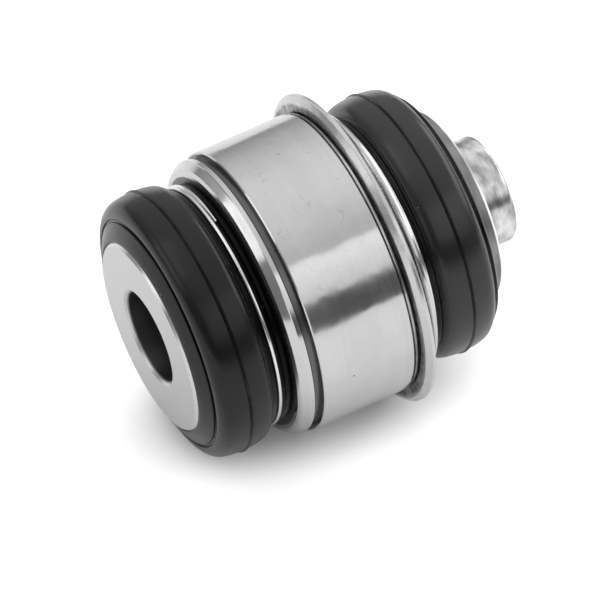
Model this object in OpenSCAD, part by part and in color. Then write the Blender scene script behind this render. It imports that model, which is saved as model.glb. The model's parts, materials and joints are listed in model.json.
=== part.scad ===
// Ball sleeve bush: a press-in steel housing with a ball sleeve that tilts and turns inside it.
// Millimetres, +Z along the bore, origin at the centre of the flat face of the lower head.
// Heights called "off" are distances from the centre of the ball, the same on both sides.
// Radial sizes are stacked outwards from the bore, heights outwards from the ball centre.

/* [Sleeve] */
// Diameter of the bore through the sleeve
bore_d = 12.2; // [10:0.1:16]
// Chamfer at both mouths of the bore
bore_chamfer = 0.45; // [0.2:0.05:0.6]
// Wall of the neck between bore and outside
neck_wall = 3.4; // [2.6:0.1:4.2]
// Step from a neck out to its flat head
head_step = 3.3; // [2.8:0.1:3.8]
// Chamfer on the outer edges of the heads
head_chamfer = 0.4; // [0.2:0.05:0.6]
// Thickness of the lower head
head_t = 3.0; // [2.4:0.1:3.4]
// Height of the ball above the necks
ball_rise = 5.5; // [4.8:0.1:6.2]
// Fillet where a neck meets its head
neck_fillet = 0.6; // [0.3:0.1:0.8]
// Wall of the centring stub
stub_wall = 1.1; // [1:0.05:2]
// Length of the centring stub
stub_l = 5.3; // [3:0.1:12]
// Rounding on the end of the stub
stub_round = 0.6; // [0.2:0.05:0.7]

/* [Bearing] */
// Wall of the bearing shell at the widest place of the ball
shell_t = 2.0; // [1.6:0.1:3]
// Height of one half of the bearing shell
shell_h = 7.7; // [7.2:0.1:8.6]
// Radial running gap between ball and bearing shell
ball_gap = 0.03; // [0.01:0.01:0.08]
// Gap left between parts that are seated against each other
seat_gap = 0.02; // [0.01:0.01:0.04]

/* [Housing] */
// Wall of the housing under the ground cylinder
housing_wall = 2.0; // [1.7:0.1:4]
// Chamfer on both ends of the ground cylinder
press_chamfer = 0.15; // [0.1:0.05:0.3]
// Thickness of the inner lip and of the closing ring
lip_t = 1.6; // [1.2:0.1:2.4]
// Wall of the two spigots that carry the boots
spigot_wall = 1.3; // [1.1:0.05:1.5]
// Length of the two spigots
spigot_l = 2.8; // [2.5:0.1:3.2]
// Step from the ground cylinder down to the lower collar
collar_drop = 0.4; // [0.2:0.05:0.7]
// Height of the straight part of that collar
collar_h = 0.85; // [0.5:0.05:1.2]
// Height of its bevel
collar_bevel = 1.1; // [0.8:0.05:1.3]
// Step over which the bevel runs in
collar_slope = 1.0; // [0.7:0.05:1.2]
// Width of the groove between collar and ground cylinder
groove_w = 1.0; // [0.6:0.05:1.4]
// Depth of that groove, below the ground cylinder
groove_depth = 0.9; // [0.75:0.05:1.2]
// Width of the undercut in front of the flange
undercut_w = 0.75; // [0.65:0.05:1]
// Depth of the undercut, below the ground cylinder
undercut_depth = 0.8; // [0.4:0.05:1.2]
// Width of the narrow land inside the undercut
land_w = 0.27; // [0.15:0.01:0.4]

/* [Flange] */
// Step from the ground cylinder out to the rim of the flange
flange_h = 2.0; // [1.4:0.1:5]
// Distance from the front face of the flange to the seat of the closing ring
flange_t = 2.05; // [1.8:0.05:2.6]
// Height of the bevel on its front edge
flange_bevel = 0.6; // [0.4:0.05:0.8]
// Height of the straight rim
flange_rim = 0.5; // [0.3:0.05:0.7]
// Wall of the rolled edge, outside the bore of the cup
rolled_wall = 0.7; // [0.5:0.05:0.9]
// How far the rolled edge reaches in over the closing ring
rolled_over = 0.55; // [0.4:0.05:0.7]
// Height of the rolled edge above the closing ring
rolled_h = 1.3; // [1:0.05:1.6]

/* [Boots] */
// Wall of the bead that grips the spigot
bead_t = 1.1; // [0.9:0.05:1.2]
// Length of that bead, from the housing to the bulge
bead_w = 2.65; // [2.4:0.05:3]
// Height of the bulge above the bead
boot_rise = 1.65; // [1.3:0.05:2.2]
// Width of the bulge of the boots
boot_w = 7.7; // [7:0.1:9]
// Radius of the crown of the bulge, seen in section
boot_crown = 10.5; // [9:0.5:13]
// Radius of the corners of the bulge, seen in section
boot_corner = 1.5; // [1.2:0.05:1.7]
// Wall thickness of the boots
boot_wall = 1.4; // [1.1:0.05:1.6]
// Height of the flash line round the widest place
flash_h = 0.18; // [0.1:0.02:0.3]
// Width of the flash line
flash_w = 0.22; // [0.16:0.02:0.3]
// Width of the lip round the lower head
lip_w = 2.28; // [2:0.02:2.5]
// Height of the edge of that lip above the bulge
lip_rise = 0.15; // [0.1:0.05:0.6]
// Width of the lip round the upper head
stub_lip_w = 3.08; // [2.8:0.02:3.3]
// Height of the edge of that lip above the bulge
stub_lip_rise = 0.85; // [0.5:0.05:1.1]
// Height of the slope of the lips, from edge to head
lip_slope = 1.05; // [0.8:0.05:1.3]
// How far the lower head stands out of its lip
head_proud = 0.25; // [0.1:0.05:0.8]
// How far the upper head stands out of its lip
stub_head_proud = 1.15; // [0.6:0.05:2]
// Thickness of the inner bead behind the head
inner_bead = 2.3; // [1.8:0.1:2.6]

/* [Rings] */
// Thickness of the wire of the clamp rings
wire_d = 0.6; // [0.4:0.02:0.7]
// How deep the wire lies in the bead of the boot
wire_depth = 0.3; // [0.2:0.02:0.4]
// Distance from the seat of the boot to the clamp ring
clamp_place = 1.7; // [1.4:0.05:1.8]
// Radial clearance between the clamp ring and the rolled edge
clamp_clear = 0.15; // [0.1:0.05:0.3]
// Angle over which the end of the wire runs on beside its start
wire_lap = 100; // [60:5:150]
// Angle round the bore at which the lapped end lies
wire_end = 99.5; // [60:0.5:140]
// How far the lapped end is pressed into the turn beside it
wire_bond = 0.036; // [0.02:0.002:0.06]
// Wall thickness of the lip rings inside the boots
lip_ring_t = 1.0; // [0.7:0.05:1.3]
// Radial running gap between a lip ring and the sleeve neck
lip_ring_gap = 0.05; // [0.02:0.01:0.09]

/* [Hidden] */
$fn = 96;
eps = 0.01;
// Radii, stacked outwards from the bore
bore_r = bore_d / 2;
stub_r = bore_r + stub_wall;
neck_r = bore_r + neck_wall;
head_r = neck_r + head_step;
ball_r = neck_r + ball_rise;
cup_r = ball_r + shell_t;
press_r = cup_r + housing_wall;
collar_r = press_r - collar_drop;
flange_r = press_r + flange_h;
rolled_r = cup_r + rolled_wall;
rolled_in_r = cup_r - rolled_over;
// Radii, stacked inwards from the rolled edge
wire_out_r = rolled_in_r - clamp_clear;
wire_path_r = wire_out_r - wire_d / 2;
bead_r = wire_out_r - wire_d + wire_depth;
spigot_r = bead_r - bead_t;
opening_r = spigot_r - spigot_wall;
boot_r = bead_r + boot_rise;
// Faces the bearing shell is held between, and the seats of the boots
cup_off = shell_h;
seat_off = cup_off + lip_t;
clamp_off = seat_off + clamp_place;
lap_off = clamp_off - wire_d + wire_bond;
flange_off = seat_off - flange_t;
// Bulge of the boots
bulge_start = seat_off + bead_w;
bulge_end = bulge_start + boot_w;
boot_off = bulge_start + boot_w / 2;
lip_off = bulge_end + lip_rise;
stub_lip_off = bulge_end + stub_lip_rise;
// Faces of the heads, and the underside of both
face_off = lip_off + lip_slope + head_proud;
stub_face_off = stub_lip_off + lip_slope + stub_head_proud;
under_off = face_off - head_t;
ball_z = face_off;
top_face_z = ball_z + stub_face_off;
top_z = top_face_z + stub_l;

// Places a piece drawn outwards from the ball centre on the lower side
module lower_side() {
  translate([0, 0, ball_z]) mirror([0, 0, 1]) children();
}

// Places a piece drawn outwards from the ball centre on the upper side
module upper_side() {
  translate([0, 0, ball_z]) children();
}

// Quarter ring of material left in a corner, for a fillet of radius f with its corner at x, y
module fillet(x, y, f, sx, sy) {
  translate([x, y]) difference() {
    translate([sx > 0 ? -eps : -f, sy > 0 ? -eps : -f]) square([f + eps, f + eps]);
    translate([sx * f, sy * f]) circle(r = f);
  }
}

// Section of the sleeve, without its bore
module sleeve_section() {
  // lower head
  polygon([[0, 0], [head_r - head_chamfer, 0], [head_r, head_chamfer],
           [head_r, head_t - 0.2], [head_r - 0.2, head_t], [0, head_t]]);
  // upper head
  polygon([[0, ball_z + under_off], [head_r - 0.2, ball_z + under_off], [head_r, ball_z + under_off + 0.2],
           [head_r, top_face_z - head_chamfer], [head_r - head_chamfer, top_face_z], [0, top_face_z]]);
  // necks
  translate([0, eps]) square([neck_r, top_face_z - 2 * eps]);
  fillet(neck_r, head_t, neck_fillet, 1, 1);
  fillet(neck_r, ball_z + under_off, neck_fillet, 1, -1);
  // stub with its rounded end
  translate([0, top_face_z - eps]) square([stub_r, stub_l - stub_round + eps]);
  translate([0, top_face_z]) square([stub_r - stub_round, stub_l]);
  translate([stub_r - stub_round, top_z - stub_round]) circle(r = stub_round);
}

module ball_sleeve() {
  color("silver") difference() {
    union() {
      rotate_extrude() intersection() {
        sleeve_section();
        square([2 * flange_r, 2 * top_z]);
      }
      translate([0, 0, ball_z]) sphere(r = ball_r);
    }
    translate([0, 0, -1]) cylinder(r = bore_r, h = top_z + 2);
    translate([0, 0, -eps]) cylinder(r1 = bore_r + bore_chamfer + eps, r2 = bore_r, h = bore_chamfer + eps);
    translate([0, 0, top_z - bore_chamfer])
      cylinder(r1 = bore_r, r2 = bore_r + bore_chamfer + eps, h = bore_chamfer + eps);
  }
}

// Section of the housing in heights from the ball centre, lower side negative
module housing_section() {
  low = -seat_off;
  bevel_top = low + collar_bevel;
  collar_top = bevel_top + collar_h;
  press_low = collar_top + groove_w;
  press_high = flange_off - undercut_w;
  flange_top = flange_off + flange_bevel + flange_rim;
  rolled_top = seat_off + rolled_h;
  cone_top = seat_off + rolled_h / 2 - 0.05;
  difference() {
    polygon([
      [opening_r, low - spigot_l],
      [spigot_r - 0.3, low - spigot_l],
      [spigot_r, low - spigot_l + 0.3],
      [spigot_r, low],
      [collar_r - collar_slope - 0.15, low],
      [collar_r - collar_slope + 0.3, low + 0.25],
      [collar_r - 0.1, bevel_top],
      [collar_r, bevel_top + 0.1],
      [collar_r, collar_top - 0.15],
      [collar_r - 0.15, collar_top],
      [press_r - groove_depth, collar_top],
      [press_r - groove_depth, press_low],
      [press_r - press_chamfer, press_low],
      [press_r, press_low + press_chamfer],
      [press_r, press_high - press_chamfer],
      [press_r - press_chamfer, press_high],
      [press_r - undercut_depth, press_high],
      [press_r - undercut_depth, flange_off],
      [flange_r - 0.7, flange_off],
      [flange_r - 0.08, flange_off + flange_bevel - 0.05],
      [flange_r - 0.08, flange_off + flange_bevel],
      [flange_r, flange_off + flange_bevel + 0.05],
      [flange_r, flange_top - 0.1],
      [flange_r - 0.15, flange_top + 0.05],
      [rolled_r + 0.25, cone_top],
      [rolled_r, cone_top + 0.1],
      [rolled_r, rolled_top - 0.35],
      [rolled_r - 0.12, rolled_top - 0.1],
      [rolled_r - 0.4, rolled_top],
      [rolled_in_r + 0.15, rolled_top],
      [rolled_in_r, rolled_top - 0.15],
      [rolled_in_r, seat_off + seat_gap],
      [cup_r, seat_off + seat_gap],
      [cup_r, -cup_off],
      [opening_r + 0.3, -cup_off],
      [opening_r, -cup_off - 0.3]
    ]);
    // groove for the bead of the boot
    translate([spigot_r, low - spigot_l / 2]) circle(r = 0.25, $fn = 32);
  }
  // narrow land in the undercut
  translate([press_r - undercut_depth - eps, press_high + (undercut_w - land_w) / 2 - 0.06])
    square([undercut_depth - 0.15 + eps, land_w]);
}

module housing() {
  color("lightgray") translate([0, 0, ball_z]) rotate_extrude() housing_section();
}

module closing_ring() {
  outer = cup_r - seat_gap;
  color("gray") upper_side() rotate_extrude() difference() {
    polygon([
      [opening_r + 0.3, cup_off],
      [outer - 0.3, cup_off],
      [outer, cup_off + 0.3],
      [outer, seat_off],
      [spigot_r, seat_off],
      [spigot_r, seat_off + spigot_l - 0.3],
      [spigot_r - 0.3, seat_off + spigot_l],
      [opening_r, seat_off + spigot_l],
      [opening_r, cup_off + 0.3]
    ]);
    // groove for the bead of the boot
    translate([spigot_r, seat_off + spigot_l / 2]) circle(r = 0.25, $fn = 32);
  }
}

// One half of the bearing shell, drawn outwards from the ball centre
module shell_half() {
  h = cup_off - seat_gap;
  difference() {
    rotate_extrude() polygon([[0, seat_gap / 2], [cup_r - seat_gap, seat_gap / 2],
                              [cup_r - seat_gap, h - 0.5], [cup_r - seat_gap - 0.5, h], [0, h]]);
    sphere(r = ball_r + ball_gap);
    // grease grooves on the bearing face
    for (k = [0:5]) rotate([0, 0, 60 * k]) translate([ball_r + 0.1, 0, -1]) cylinder(r = 0.6, h = h + 2, $fn = 32);
  }
}

module bearing_shell_lower() {
  color("ivory") lower_side() shell_half();
}

module bearing_shell_upper() {
  color("ivory") upper_side() shell_half();
}

// Rounded bar in section from w0 to w1 and up to radius r1, with corners of radius c
module rounded_bar(w0, w1, r0, r1, c) {
  translate([r0, w0]) square([r1 - r0 - c, w1 - w0]);
  translate([r0, w0 + c]) square([r1 - r0, w1 - w0 - 2 * c]);
  translate([r1 - c, w0 + c]) circle(r = c);
  translate([r1 - c, w1 - c]) circle(r = c);
}

// Bulge of the boot in section, inset by t
module bulge(t) {
  w0 = boot_off - boot_w / 2 + t;
  w1 = boot_off + boot_w / 2 - t;
  intersection() {
    rounded_bar(w0, w1, head_r + seat_gap, boot_r - t, max(0.3, boot_corner - t * 0.6));
    translate([boot_r - boot_crown, boot_off]) circle(r = boot_crown - t);
  }
}

// Section of a boot drawn outwards from the ball centre
module boot_section(edge_w, edge_off) {
  head_in = head_r + seat_gap;
  edge_r = head_in + edge_w;
  base = under_off - lip_ring_t - inner_bead;
  seat_low = lap_off - wire_d / 2 - seat_gap;
  seat_high = clamp_off + wire_d / 2 + seat_gap;
  difference() {
    union() {
      difference() {
        union() {
          bulge(0);
          // bead on the spigot
          rounded_bar(seat_off + seat_gap, bulge_start + boot_wall, spigot_r + seat_gap, bead_r, 0.2);
          // lip round the head
          polygon([[head_in, bulge_end - 0.3], [edge_r - 0.35, bulge_end - 0.3], [edge_r, edge_off - 0.2],
                   [edge_r - 0.1, edge_off], [edge_r - 0.5, edge_off + 0.25 * lip_slope],
                   [head_in + 0.6, edge_off + 0.86 * lip_slope], [head_in + 0.1, edge_off + lip_slope],
                   [head_in, edge_off + lip_slope - 0.1]]);
        }
        // hollow of the bulge, open towards the neck
        bulge(boot_wall);
        translate([head_r - 1, bulge_start + boot_wall])
          square([boot_r - boot_corner - boot_wall - head_r + 1, boot_w - 2 * boot_wall]);
        // room for the end of the spigot
        translate([head_r - 1, bulge_start - 1])
          square([spigot_r + seat_gap - head_r + 1, 1 + boot_wall + eps]);
      }
      // inner bead behind the head
      translate([neck_r + lip_ring_gap + lip_ring_t, base])
        square([head_in + 1.2 - neck_r - lip_ring_gap - lip_ring_t, inner_bead]);
      translate([head_in, base]) square([1.2, bulge_end - base - boot_wall / 2]);
      // flash left by the mould
      translate([boot_r - 0.5, boot_off - flash_w / 2]) square([0.5 + flash_h, flash_w]);
    }
    // groove between bulge and lip
    translate([edge_r + 0.1, bulge_end + 0.02]) circle(r = 0.26, $fn = 32);
    // seat of the clamp ring
    translate([wire_out_r - wire_d - seat_gap, seat_low]) square([2, seat_high - seat_low]);
  }
}

module boot_lower() {
  color("dimgray") lower_side() rotate_extrude() boot_section(lip_w, lip_off);
}

module boot_upper() {
  color("dimgray") upper_side() rotate_extrude() boot_section(stub_lip_w, stub_lip_off);
}

// Wire ring with its end lapped beside its start
module clamp_ring() {
  translate([0, 0, clamp_off]) rotate_extrude() translate([wire_path_r, 0]) circle(d = wire_d, $fn = 32);
  rotate([0, 0, wire_end - wire_lap]) {
    translate([0, 0, lap_off]) rotate_extrude(angle = wire_lap) translate([wire_path_r, 0]) circle(d = wire_d, $fn = 32);
    for (a = [0, wire_lap]) rotate([0, 0, a]) translate([wire_path_r, 0, lap_off]) sphere(d = wire_d, $fn = 32);
  }
}

module clamp_ring_lower() {
  color("whitesmoke") lower_side() clamp_ring();
}

module clamp_ring_upper() {
  color("whitesmoke") upper_side() clamp_ring();
}

// Angle ring inside the inner bead, which turns on the neck of the sleeve
module lip_ring() {
  inner = neck_r + lip_ring_gap;
  base = under_off - lip_ring_t - inner_bead;
  rotate_extrude() polygon([
    [inner, base + 0.2], [inner + lip_ring_t - seat_gap, base + 0.2],
    [inner + lip_ring_t - seat_gap, under_off - lip_ring_t + seat_gap],
    [head_r - 0.3, under_off - lip_ring_t + seat_gap], [head_r - 0.3, under_off - lip_ring_gap],
    [neck_r + neck_fillet + 0.1, under_off - lip_ring_gap],
    [inner, under_off - neck_fillet - 0.1]]);
}

module lip_ring_lower() {
  color("darkgray") lower_side() lip_ring();
}

module lip_ring_upper() {
  color("darkgray") upper_side() lip_ring();
}

housing();
closing_ring();
bearing_shell_lower();
bearing_shell_upper();
ball_sleeve();
boot_lower();
boot_upper();
clamp_ring_lower();
clamp_ring_upper();
lip_ring_lower();
lip_ring_upper();
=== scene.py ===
import json
import math

import bmesh
import bpy
from mathutils import Matrix, Vector


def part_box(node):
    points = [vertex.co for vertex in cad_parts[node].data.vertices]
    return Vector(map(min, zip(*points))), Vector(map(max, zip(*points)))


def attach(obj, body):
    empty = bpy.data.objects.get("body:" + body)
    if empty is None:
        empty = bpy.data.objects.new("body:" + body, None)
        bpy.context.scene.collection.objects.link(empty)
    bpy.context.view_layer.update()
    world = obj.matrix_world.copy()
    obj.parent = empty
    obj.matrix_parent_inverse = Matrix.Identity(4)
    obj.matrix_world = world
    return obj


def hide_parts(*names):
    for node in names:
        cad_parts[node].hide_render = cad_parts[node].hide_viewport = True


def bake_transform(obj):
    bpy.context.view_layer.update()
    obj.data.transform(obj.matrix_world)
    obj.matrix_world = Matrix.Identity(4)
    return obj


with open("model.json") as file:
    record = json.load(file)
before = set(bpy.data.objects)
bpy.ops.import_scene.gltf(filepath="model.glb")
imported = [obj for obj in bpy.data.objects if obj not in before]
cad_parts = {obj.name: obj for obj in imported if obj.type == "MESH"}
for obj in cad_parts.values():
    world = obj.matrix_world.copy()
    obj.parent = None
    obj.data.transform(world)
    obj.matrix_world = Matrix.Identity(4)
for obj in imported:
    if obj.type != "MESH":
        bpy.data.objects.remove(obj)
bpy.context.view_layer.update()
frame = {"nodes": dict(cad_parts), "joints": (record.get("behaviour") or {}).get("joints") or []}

bl_info = {
    "name": "Ball Sleeve Bush",
    "version": (1, 0, 0),
    "blender": (4, 5, 0),
    "location": "3D View > Sidebar > Bush",
    "description": "Dresses the packed model of a ball sleeve bush in steel and rubber",
    "category": "Object",
}

MM = 0.001
BALL_Z = next(joint for joint in frame["joints"] if joint["name"] == "tilt")["pos_m"][2]
WHITE = (1, 1, 1, 1)
# For a band that has no limit on one side, in millimetres
FAR = 1000

# Camera directions in the part's frame: forward, up and to the right
FORWARD = Vector((0.70188, -0.65714, 0.27483))
UP = Vector((0.54345, 0.74346, 0.38977))
RIGHT = Vector((-0.46046, -0.12421, 0.87895))

# Places along a boot, in millimetres from the ball centre
BEAD_END = 9.32
BULGE_LOW, BULGE_HIGH = 11.95, 19.65
PARTING = (BULGE_LOW + BULGE_HIGH) / 2
# Slack of a boot's lip round the head, and the groove outside the lip, in millimetres
LIP_SLACK = 0.02
GROOVE_OFF, GROOVE_RADIUS = 0.13, 0.29


def length(name, default, text):
    return bpy.props.FloatProperty(name=name, default=default, description=text, subtype="DISTANCE", precision=6)


def angle(name, degrees, text):
    return bpy.props.FloatProperty(name=name, default=math.radians(degrees), description=text, subtype="ANGLE")


def colour(name, default, text):
    return bpy.props.FloatVectorProperty(
        name=name, default=default, description=text, subtype="COLOR", size=3, min=0, max=1
    )


def amount(name, default, text):
    return bpy.props.FloatProperty(name=name, default=default, description=text, min=0, max=1)


class BushSteelSettings(bpy.types.PropertyGroup):
    ground_colour: colour("Ground steel", (0.61, 0.61, 0.61), "Colour of the ground housing")
    ground_roughness: amount("Ground roughness", 0.15, "Roughness of the ground housing")
    satin_colour: colour("Satin steel", (0.6, 0.6, 0.6), "Colour of the turned sleeve")
    satin_roughness: amount("Satin roughness", 0.3, "Roughness of the turned sleeve")
    wire_colour: colour("Wire", (0.78, 0.78, 0.78), "Colour of the clamp rings")
    line_width: length("Line width", 0.06 * MM, "Width of the finest turned or ground lines")
    line_depth: length("Line depth", 0.0006 * MM, "Depth of the turned or ground lines")


class BushBootSettings(bpy.types.PropertyGroup):
    rubber_colour: colour("Rubber", (0.0065, 0.0065, 0.0068), "Colour of the rubber boots")
    rubber_roughness: amount("Rubber roughness", 0.27, "Roughness of the rubber boots")
    bead_radius: length("Bead radius", 16.0 * MM, "Radius of the bead round the spigot")
    bulge_radius: length("Bulge radius", 17.65 * MM, "Largest radius of the boots")
    wall: length("Wall", 1.4 * MM, "Wall thickness of the boots")
    flash: length("Flash", 0.18 * MM, "Height of the moulding flash round the boots")
    steps: bpy.props.IntProperty(name="Steps", default=256, min=32, description="Steps round each boot")


class BushRingSettings(bpy.types.PropertyGroup):
    wire: length("Wire", 0.6 * MM, "Thickness of the clamp ring wire")
    path_radius: length("Ring radius", 16.0 * MM, "Radius of the wire's centre line")
    offset: length("Ring offset", 11.0 * MM, "Distance of the rings from the ball centre")
    lap: angle("Lap", 100, "Angle over which the wire's end laps")
    end: angle("End", 99.5, "Angle at which the lapped end lies")


class BushStageSettings(bpy.types.PropertyGroup):
    lens: bpy.props.FloatProperty(name="Lens", default=360.0, min=20, max=800, description="Focal length in mm")
    camera_place: bpy.props.FloatVectorProperty(
        name="Camera", default=(-0.53203, 0.49356, -0.1874), size=3, subtype="TRANSLATION", description="Camera place"
    )
    floor_tilt: angle("Floor tilt", 7.62, "Angle between the floor and the bore, as the bush lies on flange and boot")
    floor_depth: length("Floor depth", 16.985 * MM, "Distance from the origin to the floor")
    floor_colour: colour("Floor", (0.92, 0.92, 0.92), "Colour of the floor")
    floor_glow: amount("Floor glow", 0.55, "Light that the floor adds where the background is seen, so it ends white")


# ---------------------------------------------------------------- node helpers
def fill(tree, node, inputs):
    """Sets a node's inputs; a socket given as input is linked."""
    for name, value in inputs.items():
        if isinstance(value, bpy.types.NodeSocket):
            tree.links.new(value, node.inputs[name])
        else:
            node.inputs[name].default_value = value
    return node


def put(tree, kind, inputs=None, **settings):
    """Adds a node, and sets its options and then its inputs."""
    node = tree.nodes.new(kind)
    for name, value in settings.items():
        setattr(node, name, value)
    return fill(tree, node, inputs or {})


def maths(tree, operation, first, second=0.0, third=0.0, clamp=False):
    inputs = {0: first, 1: second, 2: third}
    return put(tree, "ShaderNodeMath", inputs, operation=operation, use_clamp=clamp).outputs[0]


def times(tree, first, second, clamp=False):
    return maths(tree, "MULTIPLY", first, second, clamp=clamp)


def span(tree, value, low, high, to_low=0.0, to_high=1.0, smooth=False):
    """Maps a value from low..high to to_low..to_high."""
    inputs = {"Value": value, "From Min": low, "From Max": high, "To Min": to_low, "To Max": to_high}
    kind = "SMOOTHSTEP" if smooth else "LINEAR"
    return put(tree, "ShaderNodeMapRange", inputs, interpolation_type=kind).outputs["Result"]


def uneven(tree, value, mask, by, clamp=False):
    """Adds to a value where a mask is over a half, and takes from it where the mask is under."""
    return maths(tree, "MULTIPLY_ADD", maths(tree, "SUBTRACT", mask, 0.5), by, value, clamp)


def scale_by_mask(tree, shade, mask, left):
    """Scales a shade to the share that is left where a mask is 1: for pits and scratches, and for painted shade and
    painted highlights in bands.
    """
    return times(tree, shade, span(tree, mask, 0.0, 1.0, 1.0, left))


def noise(tree, vector, scale, detail, seed=None, distortion=0.0):
    """Noise from 0 to 1; a seed picks one of many that are alike."""
    inputs = {"Vector": vector, "Scale": scale, "Detail": detail, "Distortion": distortion}
    if seed is None:
        return put(tree, "ShaderNodeTexNoise", inputs).outputs["Fac"]
    return put(tree, "ShaderNodeTexNoise", {**inputs, "W": seed}, noise_dimensions="4D").outputs["Fac"]


def bump(tree, height, distance, normal=None):
    """Normal of a relief, on top of another relief's normal where one is given."""
    inputs = {"Height": height, "Distance": distance, "Strength": 1.0}
    if normal is not None:
        inputs["Normal"] = normal
    return put(tree, "ShaderNodeBump", inputs).outputs["Normal"]


def about_bore(tree, position):
    """Distance from the bore's axis, position without its height, and height."""
    parts = put(tree, "ShaderNodeSeparateXYZ", {0: position}).outputs
    flat = put(tree, "ShaderNodeCombineXYZ", {"X": parts["X"], "Y": parts["Y"]}).outputs[0]
    radius = put(tree, "ShaderNodeVectorMath", {0: flat}, operation="LENGTH").outputs["Value"]
    return radius, flat, parts["Z"]


def background_rays(tree, mirrored):
    """1 for the camera's rays, and what is given for rays that see the background in metal or through glass."""
    light = put(tree, "ShaderNodeLightPath").outputs
    other = maths(tree, "MAXIMUM", light["Is Glossy Ray"], light["Is Transmission Ray"])
    return maths(tree, "MAXIMUM", light["Is Camera Ray"], times(tree, other, mirrored))


# ----------------------------------------------------------------- node groups
def built_once(name):
    """A tree of this name is built when it is first asked for, and found again after that."""
    def wrap(build):
        return lambda: bpy.data.node_groups.get(name) or build(name)
    return wrap


def group_tree(name, kind, inputs, outputs):
    """A tree with named sockets; returns it, the sockets that give its inputs and those that take its outputs."""
    tree = bpy.data.node_groups.new(name, kind)
    for label, socket, value in inputs:
        item = tree.interface.new_socket(label, in_out="INPUT", socket_type="NodeSocket" + socket)
        if value is not None:
            item.default_value = value
    for label, socket in outputs:
        tree.interface.new_socket(label, in_out="OUTPUT", socket_type="NodeSocket" + socket)
    return tree, put(tree, "NodeGroupInput").outputs, put(tree, "NodeGroupOutput").inputs


def mask_group(name, numbers, masks):
    """A shader group that reads a position and some numbers, and puts out masks from 0 to 1."""
    inputs = [("Position", "Vector", None)] + [(label, "Float", value) for label, value in numbers.items()]
    return group_tree(name, "ShaderNodeTree", inputs, [(label, "Float") for label in masks])


@built_once("Turned lines")
def turned_lines_group(name):
    """Lines that run round the bore, as turning and grinding leave them."""
    tree, given, result = mask_group(name, {"Width": 0.1 * MM, "Drift": 1.5, "Seed": 0.0}, ("Fine", "Broad"))
    radius, flat, height = about_bore(tree, given["Position"])
    unit = put(tree, "ShaderNodeVectorMath", {0: flat}, operation="NORMALIZE").outputs["Vector"]
    turn = put(tree, "ShaderNodeSeparateXYZ", {0: unit}).outputs
    radius, height = (maths(tree, "DIVIDE", value, given["Width"]) for value in (radius, height))
    along = times(tree, turn["X"], given["Drift"])
    across = maths(tree, "MULTIPLY_ADD", turn["Y"], given["Drift"], given["Seed"])
    for label, scale, detail in (("Fine", 1.0, 2.0), ("Broad", 0.12, 3.0)):
        inputs = {"X": times(tree, radius, scale), "Y": times(tree, height, scale), "Z": along}
        point = put(tree, "ShaderNodeCombineXYZ", inputs).outputs[0]
        tree.links.new(noise(tree, point, 1.0, detail, across), result[label])
    return tree


@built_once("Specks")
def specks_group(name):
    """Small pits or dust."""
    tree, given, result = mask_group(name, {"Spacing": 2.0 * MM, "Size": 0.06, "Share": 0.3}, ("Mask",))
    scale = maths(tree, "DIVIDE", 1.0, given["Spacing"])
    cells = put(tree, "ShaderNodeTexVoronoi", {"Vector": given["Position"], "Scale": scale}).outputs
    # each cell's random colour chooses whether it has a speck, and its size
    chance = put(tree, "ShaderNodeSeparateColor", {0: cells["Color"]}).outputs
    near = maths(tree, "LESS_THAN", cells["Distance"], times(tree, given["Size"], chance[1]))
    chosen = maths(tree, "LESS_THAN", chance[0], given["Share"])
    tree.links.new(times(tree, near, chosen), result["Mask"])
    return tree


@built_once("Hairlines")
def hairlines_group(name):
    """Fine curved scratches from handling, in patches."""
    tree, given, result = mask_group(name, {"Scale": 260.0, "Width": 0.008, "Seed": 0.0}, ("Mask",))
    path = noise(tree, given["Position"], given["Scale"], 1.0, given["Seed"], distortion=1.2)
    off = maths(tree, "ABSOLUTE", maths(tree, "SUBTRACT", path, 0.5))
    line = maths(tree, "SUBTRACT", 1.0, maths(tree, "DIVIDE", off, given["Width"]), clamp=True)
    shown = span(tree, noise(tree, given["Position"], 430.0, 1.0, given["Seed"]), 0.48, 0.6)
    tree.links.new(times(tree, line, shown), result["Mask"])
    return tree


@built_once("Band")
def band_group(name):
    """A band round the bore, inside a radius and between two heights, with ragged edges."""
    numbers = {"Radius": 20 * MM, "Low": -1.0, "High": 1.0, "Edge": 0.1 * MM}
    tree, given, result = mask_group(name, numbers, ("Mask",))
    radius, _, height = about_bore(tree, given["Position"])
    ragged = times(tree, maths(tree, "SUBTRACT", noise(tree, given["Position"], 900.0, 2.0), 0.5), given["Edge"])

    def rise(value, limit):
        """From 0 to 1 over the width of the edge, where a value passes its limit."""
        past = maths(tree, "ADD", maths(tree, "SUBTRACT", value, limit), ragged)
        return maths(tree, "ADD", maths(tree, "DIVIDE", past, given["Edge"]), 0.5, clamp=True)

    between = times(tree, rise(height, given["Low"]), rise(given["High"], height))
    tree.links.new(times(tree, rise(given["Radius"], radius), between), result["Mask"])
    return tree


def place(tree, group, **inputs):
    """Places a shader group in a material and returns what it puts out."""
    return put(tree, "ShaderNodeGroup", inputs, node_tree=group).outputs


def band(tree, position, radius, low, high, edge):
    """Mask of a band round the bore, all in millimetres."""
    return place(tree, band_group(), Position=position, Radius=radius * MM, Low=low * MM, High=high * MM,
                 Edge=edge * MM)["Mask"]


# ------------------------------------------------------------------- materials
def bare_tree(owner):
    """Empties the node tree of a material or a world."""
    owner.use_nodes = True
    owner.node_tree.nodes.clear()
    return owner.node_tree


def blank_material(name):
    """A material with only its shader, and the Object coordinates that its patterns read."""
    material = bpy.data.materials.new(name)
    tree = bare_tree(material)
    shader = put(tree, "ShaderNodeBsdfPrincipled")
    put(tree, "ShaderNodeOutputMaterial", {"Surface": shader.outputs[0]})
    return material, tree, shader, put(tree, "ShaderNodeTexCoord").outputs["Object"]


def tint(tree, base, shade):
    """A colour times a shade."""
    channels = [times(tree, shade, channel, clamp=True) for channel in base]
    return put(tree, "ShaderNodeCombineColor", dict(enumerate(channels))).outputs[0]


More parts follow.
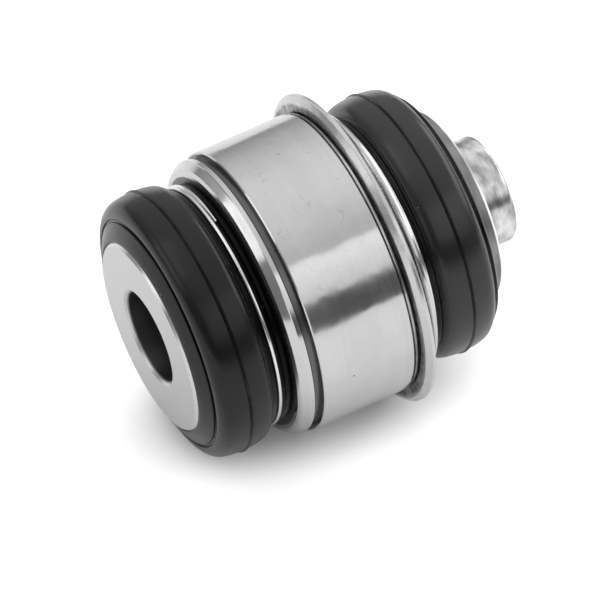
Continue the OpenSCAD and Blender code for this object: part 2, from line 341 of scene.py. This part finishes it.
def stains(tree, position, above):
    """Shade of the stains above a height: the stub is stained most, the head half as much."""
    # they run round the bore rather than along it
    streaks = put(tree, "ShaderNodeVectorMath", {0: position, 1: (1.0, 1.0, 2.4)}, operation="MULTIPLY").outputs[0]
    patches = span(tree, noise(tree, streaks, 330.0, 3.5, seed=4.3), 0.38, 0.62, 0.56, 1.3)
    stub_radius = 7.6
    everywhere, stub = (band(tree, position, radius, above, FAR, 0.4) for radius in (FAR, stub_radius))
    held = maths(tree, "MULTIPLY_ADD", everywhere, 0.5, times(tree, stub, 0.5))
    return maths(tree, "MULTIPLY_ADD", maths(tree, "SUBTRACT", patches, 1.0), held, 1.0)


def steel_material(name, base, roughness, line_width, line_depth, contrast, specks, seed, wave, bands=(),
                   stained_above=None, hair=0.06, mottle=0.015):
    """Bare steel with lines round the bore, uneven gloss, a few specks, and darker or lighter bands: most are painted
    shade in recesses or painted highlights on chamfers.

    Each band is radius, lowest and highest point and edge in millimetres, what is left of the colour there,
    and how much rougher it is. Contrast, hair and mottle are how much lines, scratches and clouds darken it,
    specks is the share of cells with a pit, and wave the depth of its slow unevenness. It is stained in patches
    above the height stained_above, in millimetres."""
    material, tree, shader, position = blank_material(name)
    lines = place(tree, turned_lines_group(), Position=position, Width=line_width, Drift=0.5, Seed=seed)
    pits = place(tree, specks_group(), Position=position, Spacing=2.2 * MM, Size=0.085, Share=specks)["Mask"]
    scratches = place(tree, hairlines_group(), Position=position, Seed=seed)["Mask"]
    cloud = noise(tree, position, 190.0, 3.0)

    tone = maths(tree, "ADD", times(tree, lines["Fine"], 0.5), times(tree, lines["Broad"], 0.5))
    shade = span(tree, tone, 0.3, 0.7, 1.0 - contrast, 1.0 + contrast * 0.4)
    shade = times(tree, shade, span(tree, cloud, 0.35, 0.65, 1.0 - mottle, 1.0 + mottle * 0.7))
    shade = scale_by_mask(tree, shade, pits, 0.3)
    shade = scale_by_mask(tree, shade, scratches, 1.0 - hair)
    if stained_above is not None:
        shade = times(tree, shade, stains(tree, position, stained_above))
    gloss = uneven(tree, uneven(tree, roughness, lines["Broad"], 0.1), cloud, 0.08)
    # most bands are painted shade in recesses or painted highlights on chamfers
    for radius, low, high, edge, left, rougher in bands:
        mask = band(tree, position, radius, low, high, edge)
        shade = scale_by_mask(tree, shade, mask, left)
        gloss = maths(tree, "MULTIPLY_ADD", mask, rougher, gloss)

    normal = bump(tree, noise(tree, position, 170.0, 2.0, seed), wave)
    marks = maths(tree, "MULTIPLY_ADD", scratches, hair * 0.5, pits)
    normal = bump(tree, marks, -0.02 * MM, normal)
    fill(tree, shader, {
        "Base Color": tint(tree, base, shade), "Metallic": 1.0, "Roughness": maths(tree, "MAXIMUM", gloss, 0.05),
        "Normal": bump(tree, lines["Fine"], line_depth, normal),
    })
    return material


def rubber_material(name, base, roughness, seed, side, gleam, groove, lip_shade_end):
    """Moulded rubber: nearly black, with a fine skin, faint smears and a few dust grains.

    The bead in the gap, and what lies inside the radius groove up to the given distance from the ball centre, both in
    millimetres, are painted shade: nearly metallic on black rubber, they take hardly any light. The parting line
    takes hardly any light too."""
    material, tree, shader, position = blank_material(name)
    cloud = noise(tree, position, 150.0, 4.0, seed)
    lines = place(tree, turned_lines_group(), Position=position, Width=0.9 * MM, Drift=0.6, Seed=seed)
    dust = place(tree, specks_group(), Position=position, Spacing=1.3 * MM, Size=0.13, Share=0.22)["Mask"]
    shade = maths(tree, "MULTIPLY_ADD", dust, 12.0, span(tree, cloud, 0.35, 0.65, 0.85, 1.2))

    def ring(radius, near, far, edge):
        """Mask of a band between two distances from the ball centre."""
        low, high = sorted(BALL_Z / MM + side * distance for distance in (near, far))
        return band(tree, position, radius, low, high, edge)

    # painted shade: the bead in the gap and the lip inside the groove are made nearly metallic, so they take hardly
    # any light
    gap = ring(17.2, BEAD_END - 0.12, BULGE_LOW - 0.05, 0.2)
    lip = ring(groove, BULGE_HIGH - 0.3, lip_shade_end, 0.12)
    # the parting line is made to take hardly any light too, here and there less
    parting = ring(20.0, PARTING - 0.11, PARTING + 0.11, 0.06)
    parting_dark = times(tree, parting, span(tree, cloud, 0.36, 0.5, 0.2, 1.0))
    painted_shade_and_parting = maths(tree, "MAXIMUM", maths(tree, "MAXIMUM", gap, lip), parting_dark)

    skin = bump(tree, noise(tree, position, 5200.0, 2.0), 0.004 * MM)
    gloss = uneven(tree, roughness, cloud, 0.3)
    fill(tree, shader, {
        "Base Color": tint(tree, base, shade), "Metallic": times(tree, painted_shade_and_parting, 0.85),
        "Roughness": uneven(tree, gloss, lines["Broad"], 0.15, clamp=True), "Specular IOR Level": gleam,
        "Normal": bump(tree, cloud, 0.06 * MM, skin),
    })
    return material


def plastic_material(name, base):
    """Plain moulded plastic, hardly uneven in colour and gloss."""
    material, tree, shader, position = blank_material(name)
    cloud = noise(tree, position, 400.0, 3.0)
    fill(tree, shader, {
        "Base Color": tint(tree, base, span(tree, cloud, 0.3, 0.7, 0.92, 1.04)),
        "Roughness": span(tree, cloud, 0.3, 0.7, 0.4, 0.52), "Normal": bump(tree, cloud, 0.01 * MM),
    })
    return material


def dress(material, *nodes):
    """Gives CAD nodes one material on all their slots."""
    for node in nodes:
        materials = frame["nodes"][node].data.materials
        materials.clear()
        materials.append(material)


# -------------------------------------------------------------- geometry nodes
def geometry_tree(name, inputs):
    """A tree that takes a geometry, some numbers and a material, and gives a geometry."""
    inputs = [("Geometry", "Geometry", None)] + inputs + [("Material", "Material", None)]
    return group_tree(name, "GeometryNodeTree", inputs, [("Geometry", "Geometry")])


def finish_tree(tree, geometry, given, result):
    """Smooth shading, and then Realize Instances and Set Material, in which every tree ends."""
    smooth = put(tree, "GeometryNodeSetShadeSmooth", {"Geometry": geometry, "Shade Smooth": True})
    real = put(tree, "GeometryNodeRealizeInstances", {"Geometry": smooth.outputs[0]})
    painted = put(tree, "GeometryNodeSetMaterial", {"Geometry": real.outputs[0], "Material": given["Material"]})
    tree.links.new(painted.outputs[0], result["Geometry"])


def circle(tree, steps, radius):
    inputs = {"Resolution": steps, "Radius": radius}
    return put(tree, "GeometryNodeCurvePrimitiveCircle", inputs, mode="RADIUS").outputs[0]


@built_once("Turned ring")
def turned_ring_tree(name):
    """A closed profile, given as the object's own edges in X and Y, swept round the bore."""
    tree, given, result = geometry_tree(name, [
        ("Path radius", "Float", 10 * MM), ("Steps", "Int", 128), ("Ripple", "Float", 0.0),
        ("Ripple size", "Float", 100.0),
    ])
    profile = put(tree, "GeometryNodeMeshToCurve", {"Mesh": given["Geometry"]}).outputs[0]
    path = circle(tree, given["Steps"], given["Path radius"])
    swept = put(tree, "GeometryNodeCurveToMesh", {"Curve": path, "Profile Curve": profile}).outputs[0]
    waves = noise(tree, put(tree, "GeometryNodeInputPosition").outputs[0], given["Ripple size"], 1.0)
    size = times(tree, maths(tree, "SUBTRACT", waves, 0.5), given["Ripple"])
    normal = put(tree, "GeometryNodeInputNormal").outputs[0]
    shift = put(tree, "ShaderNodeVectorMath", {0: normal, "Scale": size}, operation="SCALE").outputs["Vector"]
    moved = put(tree, "GeometryNodeSetPosition", {"Geometry": swept, "Offset": shift}).outputs[0]
    finish_tree(tree, moved, given, result)
    return tree


@built_once("Wire ring")
def wire_ring_tree(name):
    """A round wire bent to a ring, with its end lapped beside its start."""
    tree, given, result = geometry_tree(name, [
        ("Ring radius", "Float", 16 * MM), ("Wire", "Float", 0.6 * MM), ("Height", "Float", 10 * MM),
        ("Lap height", "Float", 10.6 * MM), ("Lap start", "Float", 0.0), ("Lap angle", "Float", 1.7),
    ])
    section = circle(tree, steps=20, radius=times(tree, given["Wire"], 0.5))
    up = put(tree, "ShaderNodeCombineXYZ", {"Z": given["Height"]}).outputs[0]
    whole = circle(tree, steps=256, radius=given["Ring radius"])
    path = put(tree, "GeometryNodeTransform", {"Geometry": whole, "Translation": up}).outputs[0]
    ring = put(tree, "GeometryNodeCurveToMesh", {"Curve": path, "Profile Curve": section}).outputs[0]

    # the lap comes out of the ring's own wire, runs beside it and tapers to its end
    arc = put(tree, "GeometryNodeCurveArc", {
        "Resolution": 96, "Radius": given["Ring radius"], "Start Angle": given["Lap start"],
        "Sweep Angle": given["Lap angle"],
    }, mode="RADIUS").outputs[0]
    along = put(tree, "GeometryNodeSplineParameter").outputs["Factor"]
    # shares of the lap's length
    come_out, taper_from = 0.14, 0.8
    climb = span(tree, along, 0.0, come_out, given["Height"], given["Lap height"], smooth=True)
    lift = put(tree, "ShaderNodeCombineXYZ", {"Z": climb}).outputs[0]
    lap_path = put(tree, "GeometryNodeSetPosition", {"Geometry": arc, "Offset": lift}).outputs[0]
    taper = maths(tree, "MINIMUM", span(tree, along, taper_from, 1.0, 1.0, 0.45, smooth=True),
                  span(tree, along, 0.0, come_out, 0.7, 1.0, smooth=True))
    lap = put(tree, "GeometryNodeCurveToMesh", {
        "Curve": lap_path, "Profile Curve": section, "Scale": taper, "Fill Caps": True,
    }).outputs[0]
    both = put(tree, "GeometryNodeJoinGeometry")
    for part in (ring, lap):
        tree.links.new(part, both.inputs[0])
    finish_tree(tree, both.outputs[0], given, result)
    return tree


def make_piece(name, source_mesh, tree, values):
    """Runs a geometry tree on a mesh and returns the result as a plain object at the origin."""
    maker = bpy.data.objects.new(name + "_maker", source_mesh)
    bpy.context.scene.collection.objects.link(maker)
    modifier = maker.modifiers.new("Shape", "NODES")
    modifier.node_group = tree
    for item in tree.interface.items_tree:
        if item.item_type == "SOCKET" and item.in_out == "INPUT" and item.name in values:
            modifier[item.identifier] = values[item.name]
    evaluated = maker.evaluated_get(bpy.context.evaluated_depsgraph_get())
    mesh = bpy.data.meshes.new_from_object(evaluated)
    mesh.name = name
    bpy.data.objects.remove(maker)
    if not mesh.polygons:
        raise RuntimeError(name + " came out empty")
    outward(mesh)
    piece = bpy.data.objects.new(name, mesh)
    bpy.context.scene.collection.objects.link(piece)
    return piece


def outward(mesh):
    """Merges doubles and points every face outwards."""
    work = bmesh.new()
    work.from_mesh(mesh)
    bmesh.ops.remove_doubles(work, verts=work.verts, dist=1e-7)
    bmesh.ops.recalc_face_normals(work, faces=work.faces)
    work.to_mesh(mesh)
    work.free()
    mesh.update()


# ------------------------------------------------------------ a boot's section
def arc_points(centre, radius, start, stop, count):
    """Points on an arc, with angles in degrees."""
    found = []
    for i in range(count):
        a = math.radians(start + (stop - start) * i / (count - 1))
        found.append((centre[0] + radius * math.cos(a), centre[1] + radius * math.sin(a)))
    return found


def boot_profile(settings, head_radius, lip_width, lip_rise, under):
    """Closed section of a boot in millimetres: radius, and distance from the ball centre.

    Under is the distance of the lip ring's washer, behind which the inner bead lies."""
    bead = settings.bead_radius / MM
    bulge = settings.bulge_radius / MM
    wall = settings.wall / MM
    flash = settings.flash / MM
    spigot = bead - 1.08
    ring_seat = bead - 0.32
    inside = head_radius + LIP_SLACK
    edge = inside + lip_width
    lip = BULGE_HIGH + lip_rise

    # bead on the housing, with the seat of the clamp ring
    rounding = 0.2
    points = [(spigot, BEAD_END + 0.05), (spigot + 0.08, BEAD_END)]
    points += arc_points((bead - rounding, BEAD_END + rounding), rounding, -90, 0, 5)
    points += [(bead, 10.02), (bead - 0.06, 10.12), (ring_seat, 10.14), (ring_seat, 11.3), (bead - 0.06, 11.32),
               (bead, 11.42), (bead, BULGE_LOW - 0.1), (bead + 0.1, BULGE_LOW)]

    # outside of the bulge: each corner's arc touches the crown's arc, so there is no crease
    crown, corner = 11.0, 1.9
    half = (BULGE_HIGH - BULGE_LOW) / 2
    crown_centre = bulge - crown
    corner_centre = crown_centre + math.sqrt((crown - corner) ** 2 - (half - corner) ** 2)
    joint = crown * (half - corner) / (crown - corner)
    steps, flash_from = 64, 0.3
    rising = []
    for i in range(steps // 2):
        out = half * math.cos(math.pi * i / steps)
        if out > joint:
            rising.append((corner_centre + math.sqrt(max(0.0, corner ** 2 - (out - half + corner) ** 2)), out))
        elif out >= flash_from:
            rising.append((crown_centre + math.sqrt(crown ** 2 - out ** 2), out))
    # the flash stands between two fine grooves
    rising += [(bulge - 0.005, 0.27), (bulge - 0.02, 0.17), (bulge - 0.14, 0.1), (bulge + flash * 0.85, 0.055),
               (bulge + flash, 0.03)]
    points += [(r, PARTING - out) for r, out in rising]
    points += [(r, PARTING + out) for r, out in reversed(rising)]

    # groove and lip round the head
    points += arc_points((edge + GROOVE_OFF, BULGE_HIGH), GROOVE_RADIUS, 0, -180, 11)
    if lip_rise < 0.3:
        points += [(edge - 0.05, lip - 0.08), (edge - 0.02, lip)]
    else:
        points += [(edge - 0.02, BULGE_HIGH + 0.2), (edge, lip - 0.25), (edge - 0.03, lip - 0.08), (edge - 0.1, lip)]
    points += [(edge - 0.2, lip + 0.1), (edge - 0.5, lip + 0.27), ((edge + inside) / 2, lip + 0.62),
               (inside + 0.6, lip + 0.88), (inside + 0.2, lip + 1.02), (inside + 0.06, lip + 1.05),
               (inside, lip + 0.98)]

    # inner bead behind the lip ring, opening downwards so the tilted ring and neck stay clear of it
    foot, hem, outer = under - 1.2, 10.8, 14.02
    points += [(inside, under + 0.8), (inside, under), (hem, under), (hem - 0.05, under - 0.05), (11.5, foot + 0.05),
               (11.55, foot), (outer - 0.05, foot), (outer, foot + 0.05), (outer, BULGE_HIGH - wall)]

    # hollow of the bulge, with a fillet at each end
    low, high, fillet, steps = BULGE_LOW + wall, BULGE_HIGH - wall, 0.66, 18
    for i in range(steps + 1):
        w = high - (high - low) * i / steps
        from_end = min(w - low, high - w)
        r = crown_centre + math.sqrt((crown - wall) ** 2 - (w - PARTING) ** 2)
        if from_end < fillet:
            r = min(r, bulge - wall - fillet + math.sqrt(max(0.0, fillet ** 2 - (fillet - from_end) ** 2)))
        points.append((r, w))
    points.append((spigot, low))
    return points


def profile_mesh(name, points, path_radius, side):
    """Edges of a closed section; side is 1 for the upper end and -1 for the lower."""
    # the sweep lays the profile's X outwards from its path and its Y down the bore
    verts = [(r * MM - path_radius, -(BALL_Z + side * w * MM), 0.0) for r, w in points]
    edges = [(i, (i + 1) % len(verts)) for i in range(len(verts))]
    mesh = bpy.data.meshes.new(name)
    mesh.from_pydata(verts, edges, [])
    return mesh


# ------------------------------------------------------------------- operators
class BUSH_OT_housing(bpy.types.Operator):
    """Gives the housing and the closing ring their ground and turned steel"""
    bl_idname = "bush.housing"
    bl_label = "Housing"

    def execute(self, context):
        s = context.scene.bush_steel
        bands = [
            (18.72, 13.68, 14.82, 0.06, 0.22, 0.1),  # groove beside the collar, painted shade
            (18.45, 27.62, 28.5, 0.12, 0.4, 0.1),  # undercut before the flange, painted shade
            (FAR, 28.3, 29.6, 0.05, 1.05, 0.12),  # flange
            (19.9, 28.2, 28.46, 0.4, 0.2, 0.1),  # step at the flange's foot, painted shade
            (16.9, -FAR, 13.0, 0.2, 0.2, 0.2),  # spigot under the lower boot, painted shade
        ]
        ground = steel_material(
            "Ground steel", s.ground_colour, s.ground_roughness, s.line_width, s.line_depth, contrast=0.06,
            specks=0.7, seed=3.0, wave=0.15 * MM, bands=bands, hair=0.16, mottle=0.035,
        )
        turned = steel_material(
            "Turned steel", s.satin_colour, s.satin_roughness, s.line_width * 1.6, s.line_depth, contrast=0.1,
            specks=0.1, seed=11.0, wave=0.02 * MM,
        )
        dress(ground, "housing")
        dress(turned, "closing_ring")
        return {"FINISHED"}


class BUSH_OT_sleeve(bpy.types.Operator):
    """Gives the ball sleeve its satin turned steel"""
    bl_idname = "bush.sleeve"
    bl_label = "Ball sleeve"

    def execute(self, context):
        s = context.scene.bush_steel
        bands = [
            (6.25, -FAR, FAR, 0.1, 0.33, 0.1),  # bore, painted shade
            (FAR, 44.5, FAR, 0.1, 1.04, -0.06),  # stub
            (FAR, 41.0, 43.42, 0.08, 0.44, 0.08),  # side of the upper head
            (FAR, 43.42, 43.9, 0.05, 1.6, -0.12),  # its chamfer, polished smoother, and painted lighter: a painted highlight that lightens its flat too
            (12.42, 43.42, 43.9, 0.05, 0.74, 0.1),  # its flat, where part of the chamfer's painted highlight stays
            (FAR, -FAR, 0.4, 0.05, 1.1, -0.06),  # chamfer of the lower head, smoother, with a faint painted highlight in its colour
            (12.4, -FAR, 0.4, 0.05, 0.91, 0.06),  # its flat
        ]
        satin = steel_material(
            "Satin steel", s.satin_colour, s.satin_roughness, s.line_width, s.line_depth * 0.8, contrast=0.06,
            specks=0.15, seed=7.0, wave=0.07 * MM, bands=bands, stained_above=41.7,
        )
        dress(satin, "ball_sleeve")
        return {"FINISHED"}


class BUSH_OT_bearing(bpy.types.Operator):
    """Gives the bearing shells their plastic and the lip rings their steel"""
    bl_idname = "bush.bearing"
    bl_label = "Bearing"

    def execute(self, context):
        s = context.scene.bush_steel
        dress(plastic_material("Bearing plastic", (0.8, 0.78, 0.72)), "bearing_shell_lower", "bearing_shell_upper")
        pressed = steel_material(
            "Pressed steel", s.satin_colour, 0.3, s.line_width * 3, s.line_depth, contrast=0.06, specks=0.1,
            seed=5.0, wave=0.02 * MM,
        )
        dress(pressed, "lip_ring_lower", "lip_ring_upper")
        return {"FINISHED"}


class BUSH_OT_boots(bpy.types.Operator):
    """Builds the two rubber boots as turned pieces"""
    bl_idname = "bush.boots"
    bl_label = "Boots"

    def execute(self, context):
        # painted light and shade: the upper boot's rubber is painted lighter and the lower one darker; the lower one
        # gleams less
        self.boot(context, "lower", side=-1, lip_width=2.28, lip_rise=0.15, lip_shade_end=19.7, seed=2.0, painted_lightness=0.8, gleam=0.34)
        self.boot(context, "upper", side=1, lip_width=3.08, lip_rise=0.5, lip_shade_end=22.0, seed=9.0, painted_lightness=1.7, gleam=0.52)
        return {"FINISHED"}

    @staticmethod
    def boot(context, end, side, lip_width, lip_rise, lip_shade_end, seed, painted_lightness, gleam):
        s = context.scene.bush_boots
        node = "boot_" + end
        # both heads stand a little further out than the lip rings
        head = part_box("lip_ring_lower")[1].x / MM + 0.3
        washer = 0.95
        under = max(abs(corner.z - BALL_Z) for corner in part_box("lip_ring_" + end)) / MM - washer
        path_radius = 15.0 * MM
        profile = boot_profile(s, head, lip_width, lip_rise, under)
        section = profile_mesh(node + "_section", profile, path_radius, side)
        groove = head + LIP_SLACK + lip_width + GROOVE_OFF + GROOVE_RADIUS
        # painted light and shade: the rubber's colour is made lighter on the upper boot and darker on the lower
        base = [channel * painted_lightness for channel in s.rubber_colour]
        rubber = rubber_material("Rubber " + end, base, s.rubber_roughness, seed, side, gleam, groove, lip_shade_end)
        piece = make_piece(node + "_rubber", section, turned_ring_tree(), {
            "Path radius": path_radius, "Steps": s.steps, "Ripple": 0.05 * MM, "Ripple size": 110.0,
            "Material": rubber,
        })
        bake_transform(piece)
        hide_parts(node)


class BUSH_OT_clamp_rings(bpy.types.Operator):
    """Builds the two wire clamp rings"""
    bl_idname = "bush.clamp_rings"
    bl_label = "Clamp rings"

    def execute(self, context):
        s = context.scene.bush_rings
        wire = steel_material(
            "Bright wire", context.scene.bush_steel.wire_colour, 0.16, line_width=0.04 * MM, line_depth=0.0005 * MM,
            contrast=0.05, specks=0.1, seed=1.0, wave=0.01 * MM,
        )
        # how deep the lapped end and the ring sink into each other
        bond = 0.036 * MM
        for node, side in (("clamp_ring_lower", -1), ("clamp_ring_upper", 1)):
            source = bpy.data.meshes.new(node + "_source")
            source.from_pydata([(0, 0, 0)], [], [])
            height = BALL_Z + side * s.offset
            piece = make_piece(node + "_wire", source, wire_ring_tree(), {
                "Ring radius": s.path_radius, "Wire": s.wire, "Height": height,
                "Lap height": height - side * (s.wire - bond), "Lap start": s.end - s.lap, "Lap angle": s.lap,
                "Material": wire,
            })
            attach(piece, "housing")
            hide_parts(node)
        return {"FINISHED"}


class BUSH_OT_stage(bpy.types.Operator):
    """Sets up the floor, the lamps, the world and the camera"""
    bl_idname = "bush.stage"
    bl_label = "Stage"

    def execute(self, context):
        s = context.scene.bush_stage
        up = Vector((0, math.cos(s.floor_tilt), math.sin(s.floor_tilt)))
        away = (FORWARD - FORWARD.dot(up) * up).normalized()
        axes = up, away, away.cross(up)
        self.floor(s, *axes)
        self.world(axes)
        # name, elevation and azimuth in degrees, distance, width and height in metres, radiance
        for lamp in (
            ("softbox_front", 34, 138, 0.62, 0.62, 0.34, 0.7),
            ("softbox_left", 19, -101, 0.70, 0.40, 0.18, 1.2),
            ("softbox_strip", 32, -105, 0.70, 0.62, 0.11, 1.2),
            ("softbox_top", 64, -104, 0.75, 0.5, 0.4, 0.6),
            ("softbox_right", 31, 60, 0.70, 0.85, 0.36, 1.8),
        ):
            self.softbox(axes, *lamp)
        self.camera(s)
        context.scene.view_settings.view_transform = "Standard"
        return {"FINISHED"}

    def floor(self, s, up, away, side):
        """Paper floor, which only shows from above and ends a short way in front of the bush."""
        reach, front = 3.0, 0.35
        ball = Vector((0, 0, BALL_Z))
        foot = -up * s.floor_depth + ball - up * up.dot(ball)
        corners = [foot + side * i + away * j
                   for i, j in ((-reach, -front), (reach, -front), (reach, reach), (-reach, reach))]
        mesh = bpy.data.meshes.new("floor")
        mesh.from_pydata(corners, [], [(0, 1, 2, 3)])
        if mesh.polygons[0].normal.dot(up) < 0:
            mesh.flip_normals()
        mesh.update()
        mesh.materials.append(self.floor_material(s))
        floor = bpy.data.objects.new("floor", mesh)
        bpy.context.scene.collection.objects.link(floor)

    @staticmethod
    def floor_material(s):
        material = bpy.data.materials.new("Paper floor")
        tree = bare_tree(material)
        # painted shadow: the glow fades under the bush, where little light would get in
        middle, squeeze = 20 * MM, 0.55
        parts = put(tree, "ShaderNodeSeparateXYZ", {0: put(tree, "ShaderNodeTexCoord").outputs["Object"]}).outputs
        along = times(tree, maths(tree, "SUBTRACT", parts["Z"], middle), squeeze)
        flat = put(tree, "ShaderNodeCombineXYZ", {"X": parts["X"], "Y": along}).outputs[0]
        off = put(tree, "ShaderNodeVectorMath", {0: flat}, operation="LENGTH").outputs["Value"]
        glow_outside_painted_shadow = span(tree, off, 7 * MM, 16.5 * MM, 0.12, 1.0, smooth=True)
        seen = background_rays(tree, mirrored=0.3)
        strength = times(tree, times(tree, seen, s.floor_glow), glow_outside_painted_shadow)
        glow = put(tree, "ShaderNodeEmission", {"Color": WHITE, "Strength": strength})
        paper = put(tree, "ShaderNodeBsdfDiffuse", {"Color": (*s.floor_colour, 1)})
        lit = put(tree, "ShaderNodeAddShader", {0: paper.outputs[0], 1: glow.outputs[0]})
        clear = put(tree, "ShaderNodeBsdfTransparent")
        back = put(tree, "ShaderNodeNewGeometry").outputs["Backfacing"]
        mix = put(tree, "ShaderNodeMixShader", {0: back, 1: lit.outputs[0], 2: clear.outputs[0]})
        put(tree, "ShaderNodeOutputMaterial", {"Surface": mix.outputs[0]})
        return material

    @staticmethod
    def pointing(axes, elevation, azimuth):
        """Direction at an angle above the floor, and an angle round from straight away from the camera."""
        up, away, side = axes
        e, a = math.radians(elevation), math.radians(azimuth)
        return up * math.sin(e) + away * (math.cos(e) * math.cos(a)) + side * (math.cos(e) * math.sin(a))

    def world(self, axes):
        """A pale studio: white to the camera, with a dim room low down on the camera's side."""
        world = bpy.data.worlds.new("Studio")
        bpy.context.scene.world = world
        tree = bare_tree(world)
        view = put(tree, "ShaderNodeTexCoord").outputs["Generated"]

        def along(axis, low, high, at_low=0.0, at_high=1.0, smooth=True):
            """A level that changes with how far the view points along an axis."""
            dot = put(tree, "ShaderNodeVectorMath", {0: view, 1: axis}, operation="DOT_PRODUCT").outputs["Value"]
            return span(tree, dot, low, high, at_low, at_high, smooth)

        up, away, side = axes
        wall = along(self.pointing(axes, 72, 5), 0.2, 1.0, 0.27, 1.0, smooth=False)
        low = along(up, 0.19, 0.33, 1.0, 0.0)
        near = along(-away, 0.2, 0.6)
        right = along(side, -0.6, -0.2)
        level = scale_by_mask(tree, wall, times(tree, times(tree, low, near), right), 0.45)
        camera_ray = put(tree, "ShaderNodeLightPath").outputs["Is Camera Ray"]
        shown = span(tree, camera_ray, 0.0, 1.0, level, 1.0)
        back = put(tree, "ShaderNodeBackground", {"Color": WHITE, "Strength": shown})
        put(tree, "ShaderNodeOutputWorld", {"Surface": back.outputs[0]})

    def softbox(self, axes, name, elevation, azimuth, distance, width, height, radiance):
        """A rectangular lamp that faces the bush and isn't seen by the camera."""
        way = self.pointing(axes, elevation, azimuth)
        data = bpy.data.lights.new(name, "AREA")
        data.shape = "RECTANGLE"
        data.size, data.size_y = width, height
        data.energy = radiance * math.pi * width * height
        lamp = bpy.data.objects.new(name, data)
        bpy.context.scene.collection.objects.link(lamp)
        x = axes[0].cross(way).normalized()
        y = way.cross(x).normalized()
        turn = Matrix((x, y, way)).transposed().to_4x4()
        lamp.matrix_world = Matrix.Translation(Vector((0, 0, BALL_Z)) + way * distance) @ turn
        lamp.visible_camera = False

    @staticmethod
    def camera(s):
        camera = bpy.data.objects.new("camera", bpy.data.cameras.new("camera"))
        bpy.context.scene.collection.objects.link(camera)
        turn = Matrix((RIGHT, UP, -FORWARD)).transposed().to_4x4()
        camera.matrix_world = Matrix.Translation(Vector(s.camera_place)) @ turn
        camera.data.lens = s.lens
        camera.data.sensor_width = 36.0
        camera.data.clip_start = 0.01
        bpy.context.scene.camera = camera


class BUSH_PT_panel(bpy.types.Panel):
    """Lists the steps that dress the bush"""
    bl_label = "Ball sleeve bush"
    bl_idname = "BUSH_PT_panel"
    bl_space_type = "VIEW_3D"
    bl_region_type = "UI"
    bl_category = "Bush"

    def draw(self, context):
        for step in STEPS:
            self.layout.operator("bush." + step)
        for group in SETTINGS:
            box = self.layout.box()
            settings = getattr(context.scene, group)
            for name in settings.bl_rna.properties.keys():
                if name not in ("rna_type", "name"):
                    box.prop(settings, name)


STEPS = ("housing", "sleeve", "bearing", "boots", "clamp_rings", "stage")
SETTINGS = {
    "bush_steel": BushSteelSettings, "bush_boots": BushBootSettings, "bush_rings": BushRingSettings,
    "bush_stage": BushStageSettings,
}
CLASSES = (
    BushSteelSettings, BushBootSettings, BushRingSettings, BushStageSettings, BUSH_OT_housing, BUSH_OT_sleeve,
    BUSH_OT_bearing, BUSH_OT_boots, BUSH_OT_clamp_rings, BUSH_OT_stage, BUSH_PT_panel,
)


def register():
    for cls in CLASSES:
        bpy.utils.register_class(cls)
    for name, cls in SETTINGS.items():
        setattr(bpy.types.Scene, name, bpy.props.PointerProperty(type=cls))


def unregister():
    for name in SETTINGS:
        delattr(bpy.types.Scene, name)
    for cls in reversed(CLASSES):
        bpy.utils.unregister_class(cls)


def main():
    register()
    for step in STEPS:
        getattr(bpy.ops.bush, step)()


if __name__ == "__main__":
    main()
